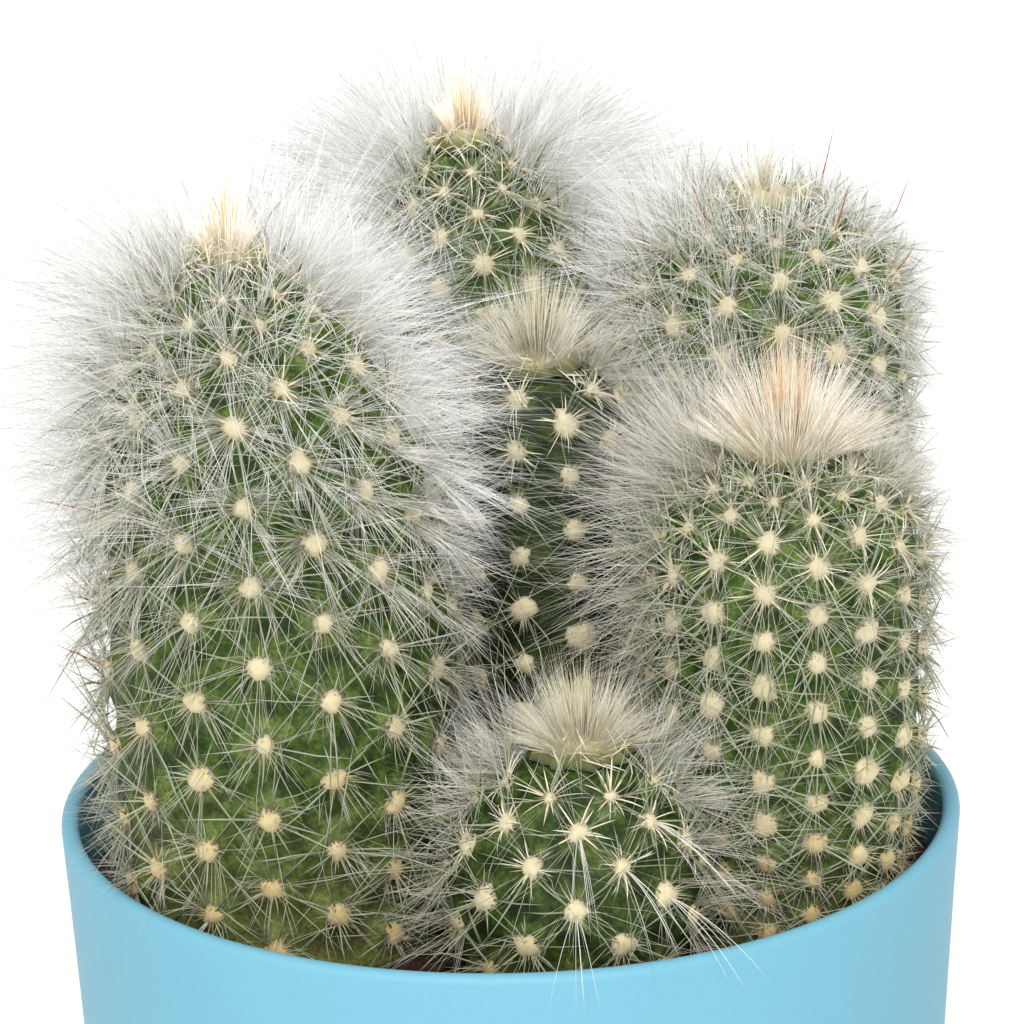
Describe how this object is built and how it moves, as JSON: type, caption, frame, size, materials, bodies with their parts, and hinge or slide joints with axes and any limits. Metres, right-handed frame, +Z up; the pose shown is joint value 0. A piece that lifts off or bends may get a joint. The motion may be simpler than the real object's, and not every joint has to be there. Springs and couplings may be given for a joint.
{
  "type": "potted old man cactus",
  "caption": "Cluster of woolly, spiny columnar cacti standing in soil in a plain round tapered pot that rests on its flat base.",
  "frame": {"origin": "centre of the pot's flat underside", "axes": "+Z up along the pot's axis; -Y is the front of the group, where the shortest stem stands; +X is to the right seen from the front"},
  "size_m": [0.0977, 0.0906, 0.1507],
  "materials": {
    "pot_plastic": "satin sky-blue moulded plastic",
    "potting_soil": "dark crumbly peat compost",
    "cactus_skin": "waxy green skin with cream felt pads and white spines",
    "cactus_wool": "soft cream wool"
  },
  "bodies": {
    "root": {"pot": "pot_plastic", "soil": "potting_soil", "stem_left_front": "cactus_skin", "crown_left_front": "cactus_wool", "stem_back": "cactus_skin", "crown_back": "cactus_wool", "stem_back_right": "cactus_skin", "crown_back_right": "cactus_wool", "stem_middle": "cactus_skin", "crown_middle": "cactus_wool", "stem_right_front": "cactus_skin", "crown_right_front": "cactus_wool", "stem_front": "cactus_skin", "crown_front": "cactus_wool"}
  },
  "joints": []
}
